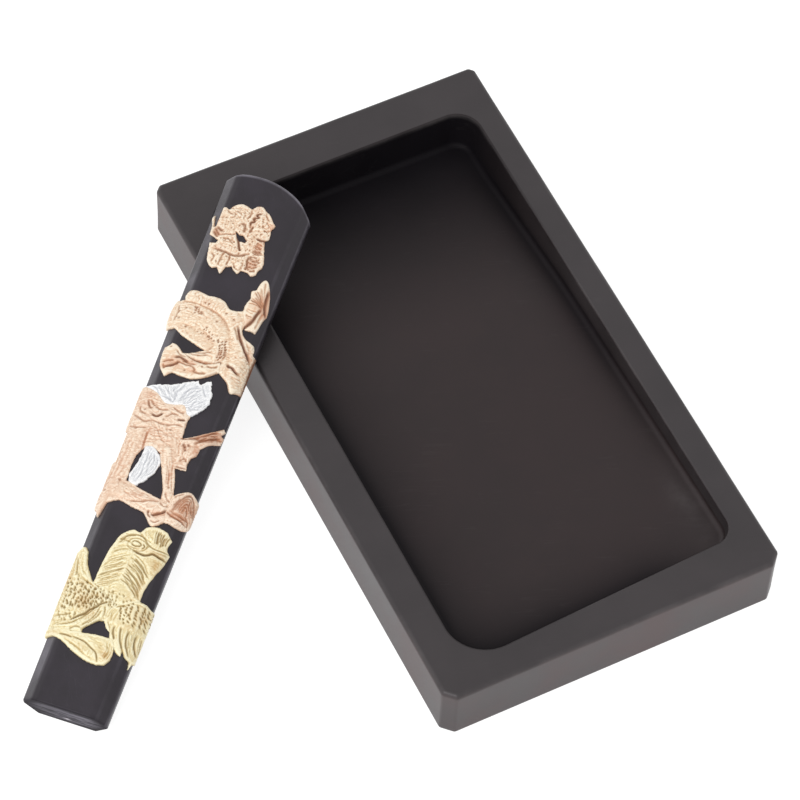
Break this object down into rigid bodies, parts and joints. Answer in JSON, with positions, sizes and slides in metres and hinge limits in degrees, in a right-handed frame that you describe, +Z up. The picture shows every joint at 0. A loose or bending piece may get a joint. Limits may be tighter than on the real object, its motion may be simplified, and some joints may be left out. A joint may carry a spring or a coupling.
{
  "type": "inkstone with ink stick",
  "caption": "Open dark inkstone whose well slopes down to an ink pool, with a gilded ink stick that leans on its rim and lifts away.",
  "frame": {"origin": "centre of the stone's flat underside", "axes": "+Z up, +Y along the stone's length towards the deep ink pool, +X across its width, away from the side that the stick leans on"},
  "size_m": [0.1403, 0.13, 0.0262],
  "materials": {
    "stone": "fine-ground dark slate with a dull sheen",
    "ink": "pressed soot ink, satin",
    "rose_gilt": "rose-gold gilding on moulded ink",
    "copper_gilt": "copper gilding on moulded ink",
    "silver_gilt": "silver gilding on moulded ink",
    "gold_gilt": "pale gold gilding on moulded ink"
  },
  "bodies": {
    "inkstone": {"stone_slab": "stone"},
    "ink_stick": {"ink_stick_core": "ink", "relief_cloud": "rose_gilt", "relief_tail_fan": "rose_gilt", "relief_claw": "rose_gilt", "relief_coil": "rose_gilt", "relief_fan_foot": "copper_gilt", "relief_torso": "copper_gilt", "mane_upper_silver": "silver_gilt", "mane_lower_silver": "silver_gilt", "gold_head_mane": "gold_gilt", "gold_club_foot": "gold_gilt", "gold_wing": "gold_gilt", "gold_body": "gold_gilt"}
  },
  "joints": [
    {"name": "stick_lift", "type": "slide", "parent": "inkstone", "child": "ink_stick", "axis": [0, 0, 1], "range_m": [0, 0.08]}
  ]
}
